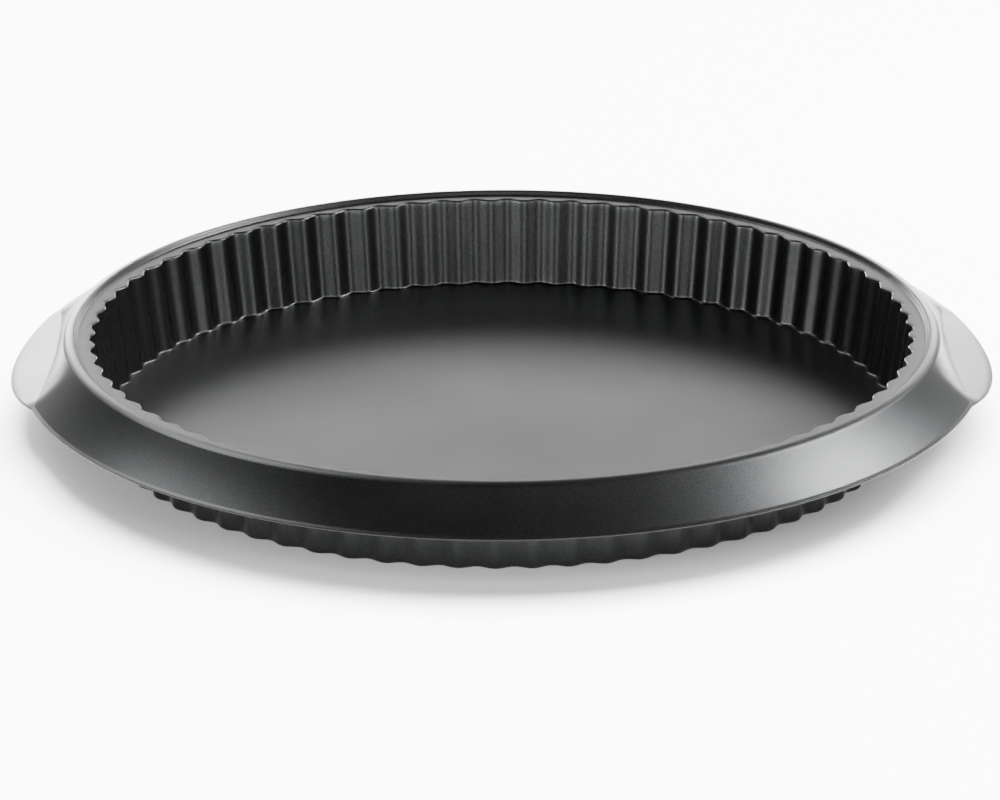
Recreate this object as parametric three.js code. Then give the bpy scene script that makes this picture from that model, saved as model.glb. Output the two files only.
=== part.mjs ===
// Fluted tart pan: one deep-drawn steel sheet with a fluted wall, a wide rim and two grip tabs.
//
// The sheet is modelled in the regions that the press tools form: the flat floor with its foot
// radius, the fluted wall, the flat ring of the rim, the raised bead round it, the sloping skirt
// with its trimmed lip, and the two grip tabs, which slope gently down. Neighbouring regions meet
// face to face.
//
// Units are millimetres, +Z is up, and the origin is the centre of the underside.
// The tabs lie along +X and -X.

import * as THREE from "three";

// Sheet and overall sizes
const SHEET = 0.8;                 // steel thickness
const RIM_HEIGHT = 32.4;           // top of the flat ring above the table
const TOP_RADIUS = 140.4;          // inside of the wall at the rim, in the hollow of a flute
const FOOT_RADIUS = 136.4;         // the same at the floor
const FOOT_BEND = 0.9;             // inside bend radius where the wall leaves the floor
const RIM_BEND = 2.0;              // outside bend radius where the wall turns into the ring

// Flutes
const FLUTE_COUNT = 72;
const FLUTE_DEPTH = 1.8;           // hollow to crest, measured along the radius
const FLUTE_PHASE = 1.5;           // angle of the first crest, degrees
const WALL_STATIONS = [0, 0.25, 0.5, 0.75];
const RIM_STATIONS = [0, 0.5];

// Rim
const RING_OUTER = 144.3;          // crease between the flat ring and the bead
const CROWN_RADIUS = 145.8;        // top of the bead
const CROWN_RISE = 1.5;            // height of the crown over the ring
const CROWN_BEND = 5.5;            // rounding of the bead's outer side
const FOLD_RADIUS = 148.9;         // where the bead folds down into the skirt
const FOLD_BEND = 2.0;
const SKIRT_FOOT = 162.7;          // radius where the skirt turns out into the lip
const LIP_RADIUS = 163.9;
const LIP_TOP = 22.1;              // height of the lip's upper face

// Grip tabs, one at each end of the X axis
const TAB_HALF_ANGLE = 17.5;       // degrees
const TAB_DROOP = 20;              // slope of the tab's plane below horizontal, degrees
const TAB_ROOT = 152.4;            // distance of the tab's root from the YZ plane, at its middle
const TAB_ROOT_BOW = 3.1;          // how much further out the root lies at its ends
const TAB_REACH = 3.8;             // how far the middle of the tab stands out past the lip
const TAB_END_FADE = 3.5;          // angle over which the tab's plane runs into the lip

// Where one region ends and the next begins
const FOOT_SPLIT = 1.8;
const RIM_SPLIT = 29.8;
const SKIRT_SPLIT = 31.0;

const rad = THREE.MathUtils.degToRad;
const CROWN_TOP = RIM_HEIGHT + CROWN_RISE;
const WALL_DRAFT = (TOP_RADIUS - FOOT_RADIUS) / (RIM_HEIGHT - SHEET);

// ---------------------------------------------------------------- angles

function evenSteps(from, to, count) {
  return Array.from({ length: count }, (_, i) => from + ((to - from) * i) / count);
}

function fluteAngles(stations) {
  return evenSteps(0, 360, FLUTE_COUNT).flatMap((start) =>
    stations.map((u) => FLUTE_PHASE + start + (u * 360) / FLUTE_COUNT));
}

const wallAngles = fluteAngles(WALL_STATIONS);

// From the top of the wall outwards: crests and hollows, the tabs' ends and the four quarters.
const TAB_ENDS = [TAB_HALF_ANGLE, 180 - TAB_HALF_ANGLE, 180 + TAB_HALF_ANGLE, -TAB_HALF_ANGLE];
const QUARTERS = [0, 90, 180, 270];
const rimAngles = [...fluteAngles(RIM_STATIONS), ...TAB_ENDS, ...QUARTERS]
  .map((angle) => (angle >= 360 - TAB_HALF_ANGLE ? angle - 360 : angle))
  .sort((a, b) => a - b);

// Angle from the middle of the nearer tab, positive towards +Y.
function angleInTab(angle) {
  return THREE.MathUtils.radToDeg(Math.asin(Math.sin(rad(angle))));
}

function onTab(angle) {
  return Math.abs(angleInTab(angle)) < TAB_HALF_ANGLE - 1e-6;
}

// ---------------------------------------------------------------- shape of the sheet

// 0 on a crest, 1 in the hollow of a flute, along an even wave.
function fluteHollow(angle) {
  return (1 - Math.cos(rad((angle - FLUTE_PHASE) * FLUTE_COUNT))) / 2;
}

// Inside radius of the wall at a height.
function wallRadius(angle, height) {
  const hollow = FOOT_RADIUS + WALL_DRAFT * (height - SHEET);
  return hollow - FLUTE_DEPTH * (1 - fluteHollow(angle));
}

// Radius of the line where the skirt turns out into the lip or the tab.
function skirtFoot(angle) {
  if (!onTab(angle)) return SKIRT_FOOT;
  const a = angleInTab(angle);
  const root = TAB_ROOT + TAB_ROOT_BOW * (a / TAB_HALF_ANGLE) ** 2;
  return Math.min(SKIRT_FOOT, root / Math.cos(rad(a)));
}

// Outer edge of the skirt region: the trimmed lip, or the line where a tab begins.
function lipRadius(angle) {
  return skirtFoot(angle) + (LIP_RADIUS - SKIRT_FOOT);
}

// Outer edge of a tab.
function tabRadius(angle) {
  const x = angleInTab(angle) / TAB_HALF_ANGLE;
  return LIP_RADIUS + TAB_REACH * Math.max(0, 1 - x * x) ** 0.75;
}

// Height of the upper face at the lip, and of the tab's sloping plane in a tab's sector.
function lipHeight(angle, radius) {
  if (!onTab(angle)) return LIP_TOP;
  const a = angleInTab(angle);
  const hinge = LIP_RADIUS * Math.cos(rad(TAB_HALF_ANGLE));
  const drop = (radius * Math.cos(rad(a)) - hinge) * Math.tan(rad(TAB_DROOP));
  const end = THREE.MathUtils.smoothstep(TAB_HALF_ANGLE - Math.abs(a), 0, TAB_END_FADE);
  return LIP_TOP - drop * end;
}

// The bead's outer side: a wide arc from the crown, then the tighter fold into the skirt.
function beadTilt(radius) {
  return Math.asin((radius - CROWN_RADIUS) / CROWN_BEND);
}

function beadHeight(radius) {
  return CROWN_TOP - CROWN_BEND * (1 - Math.cos(beadTilt(radius)));
}

// Slope of the skirt, and the point where the fold runs into it.
function skirtLine(angle) {
  const tilt = beadTilt(FOLD_RADIUS);
  const centreRadius = FOLD_RADIUS - FOLD_BEND * Math.sin(tilt);
  const centreHeight = beadHeight(FOLD_RADIUS) - FOLD_BEND * Math.cos(tilt);
  const dr = skirtFoot(angle) - centreRadius;
  const dz = lipHeight(angle, skirtFoot(angle)) - centreHeight;
  const normal = Math.atan2(dz, dr) + Math.acos(FOLD_BEND / Math.hypot(dr, dz));
  return {
    slope: Math.PI / 2 - normal,
    r: centreRadius + FOLD_BEND * Math.cos(normal),
    z: centreHeight + FOLD_BEND * Math.sin(normal),
  };
}

function skirtRadius(angle, height) {
  const line = skirtLine(angle);
  return line.r + (line.z - height) / Math.tan(line.slope);
}

// ---------------------------------------------------------------- closed meshes

// One closed loop of points round the axis. The height is a number or depends on the angle.
function loop(angles, radiusAt, height) {
  return angles.map((angle) => {
    const r = radiusAt(angle);
    const z = typeof height === "function" ? height(angle, r) : height;
    return [r * Math.cos(rad(angle)), r * Math.sin(rad(angle)), z];
  });
}

function walled(radiusAt, height) {
  return loop(wallAngles, radiusAt, height);
}

function round(radiusAt, height) {
  return loop(rimAngles, radiusAt, height);
}

function meshOf(points, faces) {
  const geometry = new THREE.BufferGeometry();
  geometry.setAttribute("position", new THREE.Float32BufferAttribute(points.flat(), 3));
  geometry.setIndex(faces.flat());
  geometry.computeVertexNormals();
  return geometry;
}

// Joins loops of equal length into one closed surface. The last loop joins back to the first,
// or the first and last are closed by a point on the axis.
function solidOfLoops(loops, closing) {
  const points = loops.flat();
  const faces = [];
  const n = loops[0].length;
  const last = loops.length - 1;
  const at = (row, i) => row * n + (i % n);
  const strip = (a, b) => {
    for (let i = 0; i < n; i += 1) {
      faces.push([at(a, i), at(a, i + 1), at(b, i)]);
      faces.push([at(a, i + 1), at(b, i + 1), at(b, i)]);
    }
  };
  loops.slice(1).forEach((_, k) => strip(k, k + 1));
  if (closing === "ring") {
    strip(last, 0);
    return meshOf(points, faces);
  }
  const first = points.push([0, 0, loops[0][0][2]]) - 1;
  const end = points.push([0, 0, loops[last][0][2]]) - 1;
  for (let i = 0; i < n; i += 1) {
    faces.push([first, at(0, i + 1), at(0, i)]);
    faces.push([end, at(last, i), at(last, i + 1)]);
  }
  return meshOf(points, faces);
}

// ---------------------------------------------------------------- regions of the sheet

// Flat floor with the bend at the wall's foot. The loops run from the underside's centre,
// up the outside of the foot, over its cut edge and down to the floor inside.
function basePlate() {
  const outerBend = FOOT_BEND + SHEET;
  const centre = (angle) => wallRadius(angle, FOOT_BEND + SHEET) - FOOT_BEND;
  const bendPoint = (radius, turn) => ({
    radiusAt: (angle) => centre(angle) + radius * Math.sin(rad(turn)),
    height: SHEET + FOOT_BEND - radius * Math.cos(rad(turn)),
  });
  const outside = bendPoint(outerBend, 50);
  const inside = bendPoint(FOOT_BEND, 50);
  return solidOfLoops([
    walled(centre, 0),
    walled(outside.radiusAt, outside.height),
    walled((a) => wallRadius(a, FOOT_SPLIT) + SHEET, FOOT_SPLIT),
    walled((a) => wallRadius(a, FOOT_SPLIT), FOOT_SPLIT),
    walled(inside.radiusAt, inside.height),
    walled(centre, SHEET),
  ], "axis");
}

function flutedWall() {
  return solidOfLoops([
    walled((a) => wallRadius(a, FOOT_SPLIT) + SHEET, FOOT_SPLIT),
    walled((a) => wallRadius(a, RIM_SPLIT) + SHEET, RIM_SPLIT),
    walled((a) => wallRadius(a, RIM_SPLIT), RIM_SPLIT),
    walled((a) => wallRadius(a, FOOT_SPLIT), FOOT_SPLIT),
  ], "ring");
}

// Bend at the top of the wall, and the flat ring as far as the crease.
function rimRing() {
  const wallTop = (a) => wallRadius(a, RIM_HEIGHT - RIM_BEND);
  const bendMiddle = RIM_BEND * (1 - Math.SQRT1_2);
  return solidOfLoops([
    round((a) => wallRadius(a, RIM_SPLIT) + SHEET, RIM_SPLIT),
    round((a) => wallTop(a) + RIM_BEND, RIM_HEIGHT - SHEET),
    round(() => RING_OUTER, RIM_HEIGHT - SHEET),
    round(() => RING_OUTER, RIM_HEIGHT),
    round((a) => wallTop(a) + RIM_BEND, RIM_HEIGHT),
    round((a) => wallTop(a) + bendMiddle, RIM_HEIGHT - bendMiddle),
    round((a) => wallRadius(a, RIM_SPLIT), RIM_SPLIT),
  ], "ring");
}

// Raised bead from the crease over its crown to the fold that turns down into the skirt.
function rimBead() {
  const outerSide = [CROWN_RADIUS, (CROWN_RADIUS + FOLD_RADIUS) / 2, FOLD_RADIUS];
  const over = outerSide.map((r) => round(() => r, beadHeight(r)));
  const under = outerSide.map((r) => round(
    () => r - SHEET * Math.sin(beadTilt(r)),
    beadHeight(r) - SHEET * Math.cos(beadTilt(r)),
  ));
  const foldEnd = (a) => skirtRadius(a, SKIRT_SPLIT);
  const flank = { in: RING_OUTER + 0.6, out: RING_OUTER + 1.2, rise: 1.0, riseUnder: 0.4 };
  return solidOfLoops([
    round(() => RING_OUTER, RIM_HEIGHT - SHEET),
    round(() => flank.out, RIM_HEIGHT + flank.riseUnder),
    ...under,
    round((a) => foldEnd(a) - SHEET / Math.sin(skirtLine(a).slope), SKIRT_SPLIT),
    round(foldEnd, SKIRT_SPLIT),
    ...over.reverse(),
    round(() => flank.in, RIM_HEIGHT + flank.rise),
    round(() => RING_OUTER, RIM_HEIGHT),
  ], "ring");
}

// Sloping skirt and its narrow trimmed lip. Beside the tabs it drops more steeply.
function skirt() {
  const slope = (a) => skirtLine(a).slope;
  const under = (a, r) => lipHeight(a, r) - SHEET;
  return solidOfLoops([
    round((a) => skirtRadius(a, SKIRT_SPLIT) - SHEET / Math.sin(slope(a)), SKIRT_SPLIT),
    round((a) => skirtFoot(a) - SHEET * Math.tan(slope(a) / 2), under),
    round(lipRadius, under),
    round(lipRadius, lipHeight),
    round(skirtFoot, lipHeight),
    round((a) => skirtRadius(a, SKIRT_SPLIT), SKIRT_SPLIT),
  ], "ring");
}

// Grip tab: a strip from the lip line out to its own rounded edge, pointed at both ends.
function gripTab(middle) {
  const ends = [middle - TAB_HALF_ANGLE, middle + TAB_HALF_ANGLE];
  const inner = rimAngles
    .map((angle) => (angle < middle - 180 ? angle + 360 : angle))
    .filter((angle) => onTab(angle) && Math.abs(angle - middle) < 90);
  const angles = [ends[0], ...inner, ends[1]];
  const rows = [
    (a) => (onTab(a) ? lipRadius(a) : LIP_RADIUS),
    (a) => (onTab(a) ? (lipRadius(a) + tabRadius(a)) / 2 : LIP_RADIUS),
    (a) => (onTab(a) ? tabRadius(a) : LIP_RADIUS),
  ];
  const top = rows.map((radiusAt) => loop(angles, radiusAt, lipHeight));
  const points = [];
  const pointAt = [SHEET, 0].map((depth) => top.map((row) => row.map(([x, y, z], i) => {
    const isEnd = i === 0 || i === angles.length - 1;
    if (isEnd && row !== top[0]) return null;
    return points.push([x, y, z - depth]) - 1;
  })));
  const at = (side, row, i) => pointAt[side][row][i] ?? pointAt[side][0][i];
  const faces = [];
  const quad = (a, b, c, d) => {
    [[a, b, c], [a, c, d]].forEach((f) => {
      if (new Set(f).size === 3) faces.push(f);
    });
  };
  const last = rows.length - 1;
  for (let i = 0; i + 1 < angles.length; i += 1) {
    for (let row = 0; row < last; row += 1) {
      quad(at(1, row, i), at(1, row + 1, i), at(1, row + 1, i + 1), at(1, row, i + 1));
      quad(at(0, row, i), at(0, row, i + 1), at(0, row + 1, i + 1), at(0, row + 1, i));
    }
    quad(at(0, 0, i), at(1, 0, i), at(1, 0, i + 1), at(0, 0, i + 1));
    quad(at(0, last, i + 1), at(1, last, i + 1), at(1, last, i), at(0, last, i));
  }
  return meshOf(points, faces);
}

// ---------------------------------------------------------------- assembly

const pan = new THREE.Group();

function addRegion(name, geometry, roughness) {
  const coating = new THREE.MeshStandardMaterial({
    color: 0x3a3b3d, roughness, metalness: 0.4, name: `${name}_coating`,
  });
  const mesh = new THREE.Mesh(geometry, coating);
  mesh.name = name;
  pan.add(mesh);
}

addRegion("base_plate", basePlate(), 0.42);
addRegion("fluted_wall", flutedWall(), 0.4);
addRegion("rim_ring", rimRing(), 0.36);
addRegion("rim_bead", rimBead(), 0.36);
addRegion("skirt", skirt(), 0.38);
addRegion("grip_tab_right", gripTab(0), 0.36);
addRegion("grip_tab_left", gripTab(180), 0.36);

export default pan;
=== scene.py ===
"""Fluted tart pan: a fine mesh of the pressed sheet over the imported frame, studio light and camera."""

import math

import bpy
import numpy as np
from mathutils import Matrix, Vector


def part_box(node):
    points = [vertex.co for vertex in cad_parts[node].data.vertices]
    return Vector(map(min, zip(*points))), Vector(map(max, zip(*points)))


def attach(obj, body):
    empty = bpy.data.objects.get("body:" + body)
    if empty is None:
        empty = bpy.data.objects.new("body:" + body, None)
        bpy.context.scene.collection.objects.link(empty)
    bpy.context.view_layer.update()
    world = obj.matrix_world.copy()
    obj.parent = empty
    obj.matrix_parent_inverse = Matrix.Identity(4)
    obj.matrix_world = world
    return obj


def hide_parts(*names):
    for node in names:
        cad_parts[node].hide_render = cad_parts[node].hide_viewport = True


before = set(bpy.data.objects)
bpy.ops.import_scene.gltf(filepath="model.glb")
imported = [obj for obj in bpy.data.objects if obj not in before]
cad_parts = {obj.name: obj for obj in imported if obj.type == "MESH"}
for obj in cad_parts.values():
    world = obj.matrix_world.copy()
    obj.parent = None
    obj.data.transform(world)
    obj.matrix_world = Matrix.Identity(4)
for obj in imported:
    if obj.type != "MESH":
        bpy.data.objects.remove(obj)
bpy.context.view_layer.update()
MM = 0.001

# ---------------------------------------------------------------- sizes, in millimetres

RIM_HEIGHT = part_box("rim_ring")[1].z / MM
CROWN_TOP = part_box("rim_bead")[1].z / MM
LIP_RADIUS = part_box("skirt")[1].y / MM
SHEET = 0.8
LIP_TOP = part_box("skirt")[0].z / MM + SHEET
FOOT_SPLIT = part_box("fluted_wall")[0].z / MM
RIM_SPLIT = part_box("fluted_wall")[1].z / MM
SKIRT_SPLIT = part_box("skirt")[1].z / MM

TOP_RADIUS = 140.4
FOOT_RADIUS = 136.4
FOOT_BEND = 0.9
RIM_BEND = 1.0
RING_TILT = math.radians(3)

FLUTE_COUNT = 72
FLUTE_DEPTH = 1.8
FLUTE_PHASE = 1.5
STEPS_PER_FLUTE = 16

CROWN_RADIUS = 145.8
CROWN_INNER_BEND = 0.5
CROWN_BEND = 5.5
STEP_SLOPE = math.radians(55)
STEP_FOOT_BEND = 0.35
FOLD_RADIUS = 148.9
FOLD_BEND = 2.0
SKIRT_FOOT = LIP_RADIUS - 1.2
SKIRT_FOOT_BEND = 0.9
SKIRT_HOLLOW = 0.3
LIP_DROOP = 24.0
EDGE_ROUNDING = 0.22

TAB_HALF_ANGLE = 17.5
TAB_DROOP = 20.0
TAB_ROOT = 152.4
TAB_ROOT_BOW = 3.1
TAB_ROOT_BEND = 1.6
TAB_REACH = 3.8
TAB_END_FADE = 3.5

DRAFT = math.atan2(TOP_RADIUS - FOOT_RADIUS, RIM_HEIGHT - SHEET)

# rings that carry the flat floor in to the centre: radius, and one point for how many columns
FLOOR_RINGS = ((129.0, 2), (125.0, 4), (112.0, 8), (84.0, 8), (56.0, 16), (28.0, 16), (9.0, 32))
FLOOR_INSETS = (3.2, 1.6, 0.6)
EDGE_TURNS = (30, 60, 90)

columns = FLUTE_COUNT * STEPS_PER_FLUTE
theta = math.radians(FLUTE_PHASE) + np.arange(columns) * 2 * math.pi / columns
in_tab = np.degrees(np.arcsin(np.sin(theta)))
tab_sector = np.abs(in_tab) < TAB_HALF_ANGLE


# ---------------------------------------------------------------- shape of the sheet

def smooth_step(x):
    x = np.clip(x, 0, 1)
    return x * x * (3 - 2 * x)


def smooth_min(a, b, width):
    h = np.clip(0.5 + 0.5 * (b - a) / width, 0, 1)
    return b + (a - b) * h - width * h * (1 - h)


def flute_hollow():
    """0 on a crest, 1 in the hollow of a flute, along an even wave."""
    return (1 - np.cos((theta - math.radians(FLUTE_PHASE)) * FLUTE_COUNT)) / 2


flute_inset = FLUTE_DEPTH * (1 - flute_hollow())


def wall_radius(height):
    return FOOT_RADIUS + math.tan(DRAFT) * (height - SHEET) - flute_inset


def skirt_foot():
    root = (TAB_ROOT + TAB_ROOT_BOW * (in_tab / TAB_HALF_ANGLE) ** 2) / np.cos(np.radians(in_tab))
    return np.where(np.abs(in_tab) < 30, smooth_min(root, SKIRT_FOOT, 0.8), SKIRT_FOOT)


def outline():
    x = np.clip(in_tab / TAB_HALF_ANGLE, -1, 1)
    return LIP_RADIUS + TAB_REACH * (1 - x ** 2) ** 0.75


def tab_plane():
    """Height of the lip at its radius, and how far it slopes down outwards, in each column."""
    end = smooth_step((TAB_HALF_ANGLE - np.abs(in_tab)) / TAB_END_FADE)
    fall = math.tan(math.radians(TAB_DROOP)) * end
    hinge = LIP_RADIUS * math.cos(math.radians(TAB_HALF_ANGLE))
    along = np.abs(np.cos(theta))
    flare = math.tan(math.radians(LIP_DROOP)) * (1 - end)

    def height(radius):
        return LIP_TOP - (radius * along - hinge) * fall - (radius - SKIRT_FOOT) * flare

    return height, np.arctan(fall * along + flare)


lip_height, lip_slope = tab_plane()


class Profile:
    """Rows of the upper surface with the underside, from the floor out to the trimmed edge."""

    def __init__(self):
        self.rows = []
        self.marks = {}

    def pair(self, r, z, under_r, under_z):
        """A point of the upper surface and the point of the underside below it."""
        row = (np.broadcast_to(np.asarray(x, float), theta.shape) for x in (r, z, under_r, under_z))
        self.rows.append(tuple(row))

    def add(self, r, z, nr, nz):
        length = np.hypot(nr, nz)
        self.pair(r, z, r - SHEET * nr / length, z - SHEET * nz / length)

    def mark(self, name):
        self.marks[name] = len(self.rows) - 1

    def arc(self, cr, cz, radius, start, end, steps, inside=False):
        """An arc round (cr, cz). Angles are the tilt of the normal from vertical, positive outwards."""
        side = -1 if inside else 1
        for t in np.linspace(0, 1, steps + 1):
            tilt = start + (end - start) * t
            nr, nz = np.sin(tilt), np.cos(tilt)
            self.add(cr + side * radius * nr, cz + side * radius * nz, nr, nz)


def build_profile():
    p = Profile()
    upright = math.pi / 2 - DRAFT

    foot_top = SHEET + FOOT_BEND * (1 - math.sin(DRAFT))
    foot_centre = wall_radius(foot_top) - FOOT_BEND * math.cos(DRAFT)
    for inset in FLOOR_INSETS:
        p.add(foot_centre - inset + flute_inset * inset / FLOOR_INSETS[0], SHEET, 0, 1)
    p.arc(foot_centre, SHEET + FOOT_BEND, FOOT_BEND, 0, -upright, 7, inside=True)

    for h in np.linspace(FOOT_SPLIT, RIM_SPLIT, 9):
        p.add(wall_radius(h), h, -math.cos(DRAFT), math.sin(DRAFT))
        if h == FOOT_SPLIT:
            p.mark("wall_start")
    p.mark("wall_end")

    # where the ring ends against the step up to the bead
    step_top = CROWN_RADIUS - CROWN_INNER_BEND * math.sin(STEP_SLOPE)
    step_top_z = CROWN_TOP - CROWN_INNER_BEND * (1 - math.cos(STEP_SLOPE))
    step_low_z = RIM_HEIGHT + STEP_FOOT_BEND * (1 - math.cos(STEP_SLOPE))
    step_low = step_top - (step_top_z - step_low_z) / math.tan(STEP_SLOPE)
    ring_end = step_low - STEP_FOOT_BEND * math.sin(STEP_SLOPE)

    # bend over the wall's top, then the ring, which flattens out towards the step
    inner = wall_radius(RIM_HEIGHT) + RIM_BEND * (math.cos(DRAFT) - math.sin(RING_TILT))
    drop = (ring_end - inner) * math.tan(RING_TILT) / 2
    bend_z = RIM_HEIGHT - drop - RIM_BEND * math.cos(RING_TILT)
    bend_r = wall_radius(bend_z + RIM_BEND * math.sin(DRAFT)) + RIM_BEND * math.cos(DRAFT)
    p.arc(bend_r, bend_z, RIM_BEND, -upright, -RING_TILT, 7)
    inner = bend_r - RIM_BEND * math.sin(RING_TILT)
    for t in (0.25, 0.5, 0.75):
        r = inner + (ring_end - inner) * t
        p.add(r, RIM_HEIGHT - drop * (1 - t) ** 2, -math.tan(RING_TILT) * (1 - t), 1)

    # steep step up to the crown of the bead
    p.add(ring_end, RIM_HEIGHT, 0, 1)
    p.mark("crease")
    p.arc(ring_end, RIM_HEIGHT + STEP_FOOT_BEND, STEP_FOOT_BEND, -STEP_SLOPE / 4, -STEP_SLOPE, 3,
          inside=True)
    under_low = step_low + SHEET * math.sin(STEP_SLOPE)
    under_low_z = step_low_z - SHEET * math.cos(STEP_SLOPE)
    under_top_z = CROWN_TOP - SHEET
    under_top = under_low + (under_top_z - under_low_z) / math.tan(STEP_SLOPE)

    def on_step(r, z, share):
        p.pair(r, z, under_low + (under_top - under_low) * share,
               under_low_z + (under_top_z - under_low_z) * share)

    on_step((step_low + step_top) / 2, (step_low_z + step_top_z) / 2, 0.4)
    for t in (0.0, 0.25, 0.5, 0.75, 1.0):
        tilt = STEP_SLOPE * (1 - t)
        on_step(CROWN_RADIUS - CROWN_INNER_BEND * math.sin(tilt),
                CROWN_TOP - CROWN_INNER_BEND * (1 - math.cos(tilt)), 0.6 + 0.4 * t)

    # outer side of the bead, the fold, and the skirt, whose slope follows the foot line
    fold_tilt = math.asin((FOLD_RADIUS - CROWN_RADIUS) / CROWN_BEND)
    p.arc(CROWN_RADIUS, CROWN_TOP - CROWN_BEND, CROWN_BEND, math.radians(4), fold_tilt * 0.88, 5)
    fold_r = CROWN_RADIUS + (CROWN_BEND - FOLD_BEND) * math.sin(fold_tilt)
    fold_z = CROWN_TOP - CROWN_BEND + (CROWN_BEND - FOLD_BEND) * math.cos(fold_tilt)
    foot = skirt_foot()
    foot_z = lip_height(foot)
    dr = foot - fold_r
    dz = foot_z - fold_z
    slope = math.pi / 2 - np.arctan2(dz, dr) - np.arccos(FOLD_BEND / np.hypot(dr, dz))
    turn = 4 * SKIRT_HOLLOW / np.hypot(dr, dz)
    top_slope = slope + turn
    foot_slope = slope - turn
    p.arc(fold_r, fold_z, FOLD_BEND, fold_tilt, top_slope, 7)
    start_r = fold_r + FOLD_BEND * np.sin(top_slope)
    start_z = fold_z + FOLD_BEND * np.cos(top_slope)

    on_tab = smooth_step((LIP_RADIUS - 4 - foot) / 6)
    bend = SKIRT_FOOT_BEND + (TAB_ROOT_BEND - SKIRT_FOOT_BEND) * on_tab
    back = bend * np.tan((foot_slope - lip_slope) / 2)
    end_r = foot - back * np.cos(foot_slope)
    end_z = foot_z + back * np.sin(foot_slope)
    split = (start_z - SKIRT_SPLIT) / (start_z - end_z)
    for step in np.linspace(0, 1, 9)[:-1]:
        t = split + (1 - split) * step
        sag = 4 * SKIRT_HOLLOW * t * (1 - t)
        tilt = slope + turn * (1 - 2 * t)
        p.add(start_r + (end_r - start_r) * t - sag * np.sin(slope),
              start_z + (end_z - start_z) * t - sag * np.cos(slope), np.sin(tilt), np.cos(tilt))
        if step == 0:
            p.mark("skirt_start")
    flat_r = foot + back * np.cos(lip_slope)
    p.arc(flat_r + bend * np.sin(lip_slope), lip_height(flat_r) + bend * np.cos(lip_slope),
          bend, foot_slope, lip_slope, 6, inside=True)

    flat_end = outline() - EDGE_ROUNDING * np.cos(lip_slope)
    first = flat_r + np.minimum(0.35 * (flat_end - flat_r), 1.2)
    for i, t in enumerate((0.0, 0.55, 0.8, 1.0)):
        r = first + (flat_end - first) * t
        p.add(r, lip_height(r), np.sin(lip_slope), np.cos(lip_slope))
        if i == 0:
            p.mark("lip_line")
    return p


profile = build_profile()


def points(r, z):
    return np.stack([r * np.cos(theta), r * np.sin(theta), np.broadcast_to(z, theta.shape)], -1)


def build_grid():
    """All rows of points: upper surface outwards, round the trimmed edge, underside back in."""
    upper = [points(r, z) for r, z, _, _ in profile.rows]
    lower = [points(r, z) for _, _, r, z in profile.rows]
    rim = outline()
    edge = []
    for turns, depth, side in ((EDGE_TURNS, 0, 1), (EDGE_TURNS[::-1], SHEET, -1)):
        for turn in turns:
            a = math.radians(turn)
            along = EDGE_ROUNDING * (1 - math.sin(a))
            down = depth + side * EDGE_ROUNDING * (1 - math.cos(a))
            edge.append(points(rim - along * np.cos(lip_slope) - down * np.sin(lip_slope),
                               lip_height(rim) + along * np.sin(lip_slope) - down * np.cos(lip_slope)))
    return upper + edge + lower[::-1]


grid = build_grid()
top_rows = len(profile.rows)
last_row = len(grid) - 1


# ---------------------------------------------------------------- faces by region

def floor_disc(row, height, first_point):
    """Rings of points and their faces, from a row of the grid in to the centre. Faces point up."""
    rings = [[row * columns + j for j in range(columns)]]
    extra = []
    for radius, share in FLOOR_RINGS:
        count = columns // share
        turn = theta[0] + np.arange(count) * 2 * math.pi / count
        rings.append([first_point + len(extra) + j for j in range(count)])
        extra += [(radius * math.cos(a), radius * math.sin(a), height) for a in turn]
    centre = first_point + len(extra)
    extra.append((0.0, 0.0, height))

    disc = []
    for outer, inner in zip(rings, rings[1:]):
        step = len(outer) // len(inner)
        for j in range(len(inner)):
            along = [outer[(j * step + k) % len(outer)] for k in range(step + 1)]
            disc.append([inner[j], *along, inner[(j + 1) % len(inner)]])
    last = rings[-1]
    disc += [[centre, last[j], last[(j + 1) % len(last)]] for j in range(len(last))]
    return extra, disc


marks = profile.marks
REGION_ENDS = {"base_plate": marks["wall_start"], "fluted_wall": marks["wall_end"],
               "rim_ring": marks["crease"], "rim_bead": marks["skirt_start"], "skirt": last_row}
ORDER = list(REGION_ENDS)
TAB_SIDES = {"grip_tab_right": 1, "grip_tab_left": -1}
tab_face = tab_sector & np.roll(tab_sector, -1)


def on_trimmed_edge(row):
    return top_rows - 1 <= row < last_row - (top_rows - 1)


def region_of(row, column):
    """Region of the face between row and row + 1, and between column and column + 1."""
    upper_row = row if row < top_rows else last_row - 1 - row
    if on_trimmed_edge(row):
        upper_row = top_rows - 1
    if upper_row >= marks["lip_line"] and tab_face[column]:
        return "grip_tab_right" if math.cos(theta[column]) > 0 else "grip_tab_left"
    return next(name for name in ORDER if upper_row < REGION_ENDS[name])


vertices = [tuple(v) for row in grid for v in row]
faces = {}
for row in range(last_row):
    for column in range(columns):
        nxt = (column + 1) % columns
        a, b = row * columns, (row + 1) * columns
        face = [a + column, b + column, b + nxt, a + nxt]
        faces.setdefault(region_of(row, column), []).append((face, on_trimmed_edge(row)))
for row, height, turned in ((0, SHEET, 1), (last_row, 0.0, -1)):
    extra, disc = floor_disc(row, height, len(vertices))
    vertices += extra
    faces["base_plate"] += [(f[::turned], False) for f in disc]

vertices = np.array(vertices) * MM


def across_sheet(row, column):
    """The face through the sheet's thickness below one step of a row. It points outwards."""
    a, b = row * columns, (last_row - row) * columns
    nxt = (column + 1) % columns
    return [a + column, b + column, b + nxt, a + nxt]


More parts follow.
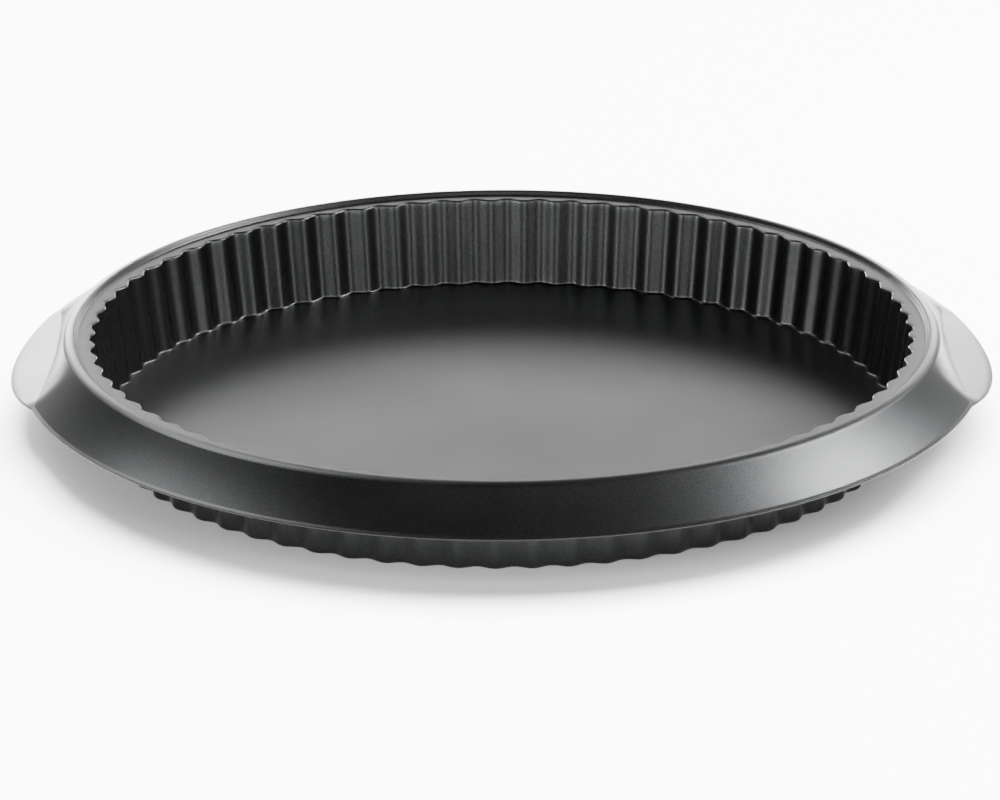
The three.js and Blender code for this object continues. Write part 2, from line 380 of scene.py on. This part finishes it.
def butt_faces(region):
    """Faces across the sheet's thickness where one region meets the next."""
    butts = []
    if region in ORDER:
        k = ORDER.index(region)
        if k + 1 < len(ORDER):
            butts += [across_sheet(REGION_ENDS[region], j) for j in range(columns)]
        if k > 0:
            butts += [across_sheet(REGION_ENDS[ORDER[k - 1]], j)[::-1] for j in range(columns)]
    lip = marks["lip_line"]
    turned = 1 if region == "skirt" else -1
    for name, side in TAB_SIDES.items():
        if region not in (name, "skirt"):
            continue
        tab_columns = [j for j in range(columns) if tab_face[j] and math.cos(theta[j]) * side > 0]
        butts += [across_sheet(lip, j)[::turned] for j in tab_columns]
        for j in tab_columns:
            nxt = (j + 1) % columns
            for at, beyond, way in ((j, (j - 1) % columns, 1), (nxt, nxt, -1)):
                if not tab_face[beyond]:
                    cap = [row * columns + at for row in range(lip, last_row - lip + 1)]
                    butts.append(cap[::way * turned])
    return butts


# ---------------------------------------------------------------- materials

CLOUD_SCALE = 14
FLECK_SCALE = 2600
PEEL_SCALE = 1500
PEEL_HEIGHT = 0.08 * MM
FLECK_SHADES = (0.82, 1.25)
CLOUD_GLOSS = 0.03
FLECK_GLOSS = (-0.03, 0.04)


def coating(name, base, roughness, grain):
    """Satin non-stick coat: fine orange peel, tiny flecks and slow changes of gloss."""
    mat = bpy.data.materials.new(name)
    mat.use_nodes = True
    nt = mat.node_tree
    shader = nt.nodes["Principled BSDF"]
    coords = nt.nodes.new("ShaderNodeTexCoord")

    def noise(scale, detail, rough=0.5):
        n = nt.nodes.new("ShaderNodeTexNoise")
        n.inputs["Scale"].default_value = scale
        n.inputs["Detail"].default_value = detail
        n.inputs["Roughness"].default_value = rough
        nt.links.new(coords.outputs["Object"], n.inputs["Vector"])
        return n

    def ramp(source, low, high, value_low, value_high):
        r = nt.nodes.new("ShaderNodeMapRange")
        r.inputs["From Min"].default_value = low
        r.inputs["From Max"].default_value = high
        r.inputs["To Min"].default_value = value_low
        r.inputs["To Max"].default_value = value_high
        nt.links.new(source, r.inputs["Value"])
        return r.outputs["Result"]

    cloud = noise(CLOUD_SCALE, 4)
    flecks = noise(FLECK_SCALE, 2, 0.6)
    peel = noise(PEEL_SCALE, 3)

    tint = nt.nodes.new("ShaderNodeMix")
    tint.data_type = "RGBA"
    for name_of_input, shade in zip("AB", FLECK_SHADES):
        tint.inputs[name_of_input].default_value = (*[c * shade for c in base], 1)
    nt.links.new(ramp(flecks.outputs["Fac"], 0.4, 0.68, 0, 1), tint.inputs["Factor"])
    nt.links.new(tint.outputs["Result"], shader.inputs["Base Color"])

    add = nt.nodes.new("ShaderNodeMath")
    add.operation = "ADD"
    dull, glossy = roughness + CLOUD_GLOSS, roughness - CLOUD_GLOSS
    nt.links.new(ramp(cloud.outputs["Fac"], 0.3, 0.7, glossy, dull), add.inputs[0])
    nt.links.new(ramp(flecks.outputs["Fac"], 0.3, 0.7, *FLECK_GLOSS), add.inputs[1])
    nt.links.new(add.outputs["Value"], shader.inputs["Roughness"])

    bump = nt.nodes.new("ShaderNodeBump")
    bump.inputs["Strength"].default_value = grain
    bump.inputs["Distance"].default_value = PEEL_HEIGHT
    nt.links.new(peel.outputs["Fac"], bump.inputs["Height"])
    nt.links.new(bump.outputs["Normal"], shader.inputs["Normal"])

    shader.inputs["Metallic"].default_value = 1.0
    return mat


COAT = coating("satin_coating", (0.042, 0.043, 0.044), 0.33, 0.2)
# Trimmed edge: its much darker colour is painted shade along the edge; it is also rougher than the coat.
EDGE_PAINTED_SHADE = coating("trimmed_edge_painted_shade", (0.013, 0.013, 0.0133), 0.48, 0.15)


# ---------------------------------------------------------------- pieces

def smooth_normals():
    """Normals of the whole sheet, so that neighbouring regions shade as one surface."""
    whole = bpy.data.meshes.new("whole_sheet")
    every = [f for region in faces.values() for f, _ in region]
    whole.from_pydata([tuple(v) for v in vertices], [], every)
    whole.update()
    normals = np.zeros(len(vertices) * 3, np.float32)
    whole.vertex_normals.foreach_get("vector", normals)
    bpy.data.meshes.remove(whole)
    return normals.reshape(-1, 3)


normals = smooth_normals()


def make_piece(region):
    """One region's mesh, with the whole sheet's normals on its outside and flat butt faces."""
    smooth = faces[region]
    butts = butt_faces(region)
    used = sorted({v for f, _ in smooth for v in f} | {v for f in butts for v in f})
    place = {v: i for i, v in enumerate(used)}
    mesh = bpy.data.meshes.new(region + "_sheet")
    polygons = [[place[v] for v in f] for f, _ in smooth] + [[place[v] for v in f] for f in butts]
    mesh.from_pydata([tuple(vertices[v]) for v in used], [], polygons)
    mesh.materials.append(COAT)
    # second slot: the painted-shade colour for the faces round the trimmed edge
    mesh.materials.append(EDGE_PAINTED_SHADE)
    mesh.polygons.foreach_set("material_index", [int(e) for _, e in smooth] + [0] * len(butts))
    mesh.polygons.foreach_set("use_smooth", [True] * len(polygons))
    mesh.update()
    corner_normals = [tuple(normals[v]) for f, _ in smooth for v in f]
    for polygon in list(mesh.polygons)[len(smooth):]:
        corner_normals += [tuple(polygon.normal)] * len(polygon.vertices)
    mesh.normals_split_custom_set(corner_normals)
    piece = bpy.data.objects.new(region + "_sheet", mesh)
    bpy.context.scene.collection.objects.link(piece)
    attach(piece, "root")
    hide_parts(region)


for region_name in faces:
    make_piece(region_name)


# ---------------------------------------------------------------- stage, light and camera

FLOOR_HALF = 30.0
FLOOR_GAP = 0.1 * MM

# brightness of the studio's walls by elevation, as (sine of the elevation, value) stops
BACK_CARD = 4.0
BEHIND_STOPS = ((0.0, 0.3), (0.2, 0.6), (0.31, BACK_CARD), (0.48, BACK_CARD),
                (0.62, 0.4), (0.78, 0.04), (1.0, 0.015))
FRONT_STOPS = ((0.0, 0.4), (0.3, 0.32), (0.6, 0.1), (1.0, 0.015))
# how far towards +Y a direction points where the card begins, and where it is in full
CARD_EDGE = (0.7, 0.92)


def plain_floor():
    mesh = bpy.data.meshes.new("floor")
    half = FLOOR_HALF
    corners = [(-half, -half, 0), (half, -half, 0), (half, half, 0), (-half, half, 0)]
    mesh.from_pydata(corners, [], [(0, 1, 2, 3)])
    floor = bpy.data.objects.new("floor", mesh)
    floor.location.z = -FLOOR_GAP
    mat = bpy.data.materials.new("pale_floor")
    mat.use_nodes = True
    shader = mat.node_tree.nodes["Principled BSDF"]
    shader.inputs["Base Color"].default_value = (0.9, 0.9, 0.9, 1)
    shader.inputs["Roughness"].default_value = 0.9
    shader.inputs["Specular IOR Level"].default_value = 0.1
    mesh.materials.append(mat)
    bpy.context.scene.collection.objects.link(floor)


def panel(name, place, size, power, glossy=True):
    """A rectangular softbox that faces the pan."""
    data = bpy.data.lights.new(name, "AREA")
    data.shape = "RECTANGLE"
    data.size, data.size_y = size
    data.energy = power
    lamp = bpy.data.objects.new(name, data)
    lamp.location = place
    lamp.rotation_euler = Vector(place).to_track_quat("Z", "Y").to_euler()
    lamp.visible_glossy = glossy
    bpy.context.scene.collection.objects.link(lamp)


def sky_ramp(nt, height, stops):
    """Grey by elevation, from stops."""
    ramp = nt.nodes.new("ShaderNodeValToRGB")
    nt.links.new(height, ramp.inputs["Fac"])
    while len(ramp.color_ramp.elements) < len(stops):
        ramp.color_ramp.elements.new(0.5)
    for element, (at, value) in zip(ramp.color_ramp.elements, stops):
        element.position = at
        element.color = (value, value, value, 1)
    return ramp.outputs["Color"]


def studio():
    """A bright card behind the pan, dark overhead, and softboxes on every side."""
    world = bpy.data.worlds.new("studio")
    bpy.context.scene.world = world
    world.use_nodes = True
    nt = world.node_tree
    coords = nt.nodes.new("ShaderNodeTexCoord")
    split = nt.nodes.new("ShaderNodeSeparateXYZ")
    nt.links.new(coords.outputs["Generated"], split.inputs["Vector"])
    behind = sky_ramp(nt, split.outputs["Z"], BEHIND_STOPS)
    front = sky_ramp(nt, split.outputs["Z"], FRONT_STOPS)
    side = nt.nodes.new("ShaderNodeMapRange")
    side.interpolation_type = "SMOOTHSTEP"
    side.inputs["From Min"].default_value = CARD_EDGE[0]
    side.inputs["From Max"].default_value = CARD_EDGE[1]
    nt.links.new(split.outputs["Y"], side.inputs["Value"])
    mix = nt.nodes.new("ShaderNodeMix")
    mix.data_type = "RGBA"
    nt.links.new(side.outputs["Result"], mix.inputs["Factor"])
    nt.links.new(front, mix.inputs["A"])
    nt.links.new(behind, mix.inputs["B"])
    nt.links.new(mix.outputs["Result"], nt.nodes["Background"].inputs["Color"])

    panel("floor_wash", (0.35, 0.1, 3.0), (2.8, 2.8), 1200, glossy=False)
    panel("strip_right", (1.7, 0.2, 1.5), (2.0, 0.35), 30)
    panel("softbox_right", (1.41, 0.64, 1.56), (0.5, 0.45), 58)
    panel("soft_left", (-1.0, 1.0, 1.69), (1.2, 0.7), 29)
    panel("front_top", (0, -1.3, 1.25), (1.4, 0.35), 14)
    panel("front_low", (0, -2.2, 0.45), (1.0, 0.6), 24)
    panel("front_left", (-1.5, -1.2, 0.45), (0.7, 0.6), 34)
    panel("front_right", (1.5, -1.2, 0.45), (0.7, 0.6), 24)
    panel("card_left", (-0.62, 1.8, 0.36), (0.4, 0.4), 16)
    panel("card_right", (0.58, 1.8, 0.36), (0.36, 0.4), 10)


def camera():
    elevation = math.radians(20.74)
    roll = math.radians(0.23)
    distance = 1.40
    target = Vector((-0.00066, -0.0713, RIM_HEIGHT * MM))
    back = Vector((0, -math.cos(elevation), math.sin(elevation)))
    right = Vector((1, 0, 0))
    up = Vector((0, math.sin(elevation), math.cos(elevation)))
    across = right * math.cos(roll) - up * math.sin(roll)
    upward = right * math.sin(roll) + up * math.cos(roll)
    data = bpy.data.cameras.new("camera")
    data.sensor_width = 36
    data.sensor_fit = "HORIZONTAL"
    data.lens = 154.5
    data.clip_start, data.clip_end = 0.05, 100
    cam = bpy.data.objects.new("camera", data)
    place = target + back * distance
    cam.matrix_world = Matrix((
        (across.x, upward.x, back.x, place.x),
        (across.y, upward.y, back.y, place.y),
        (across.z, upward.z, back.z, place.z),
        (0, 0, 0, 1)))
    bpy.context.scene.collection.objects.link(cam)
    bpy.context.scene.camera = cam


plain_floor()
studio()
camera()
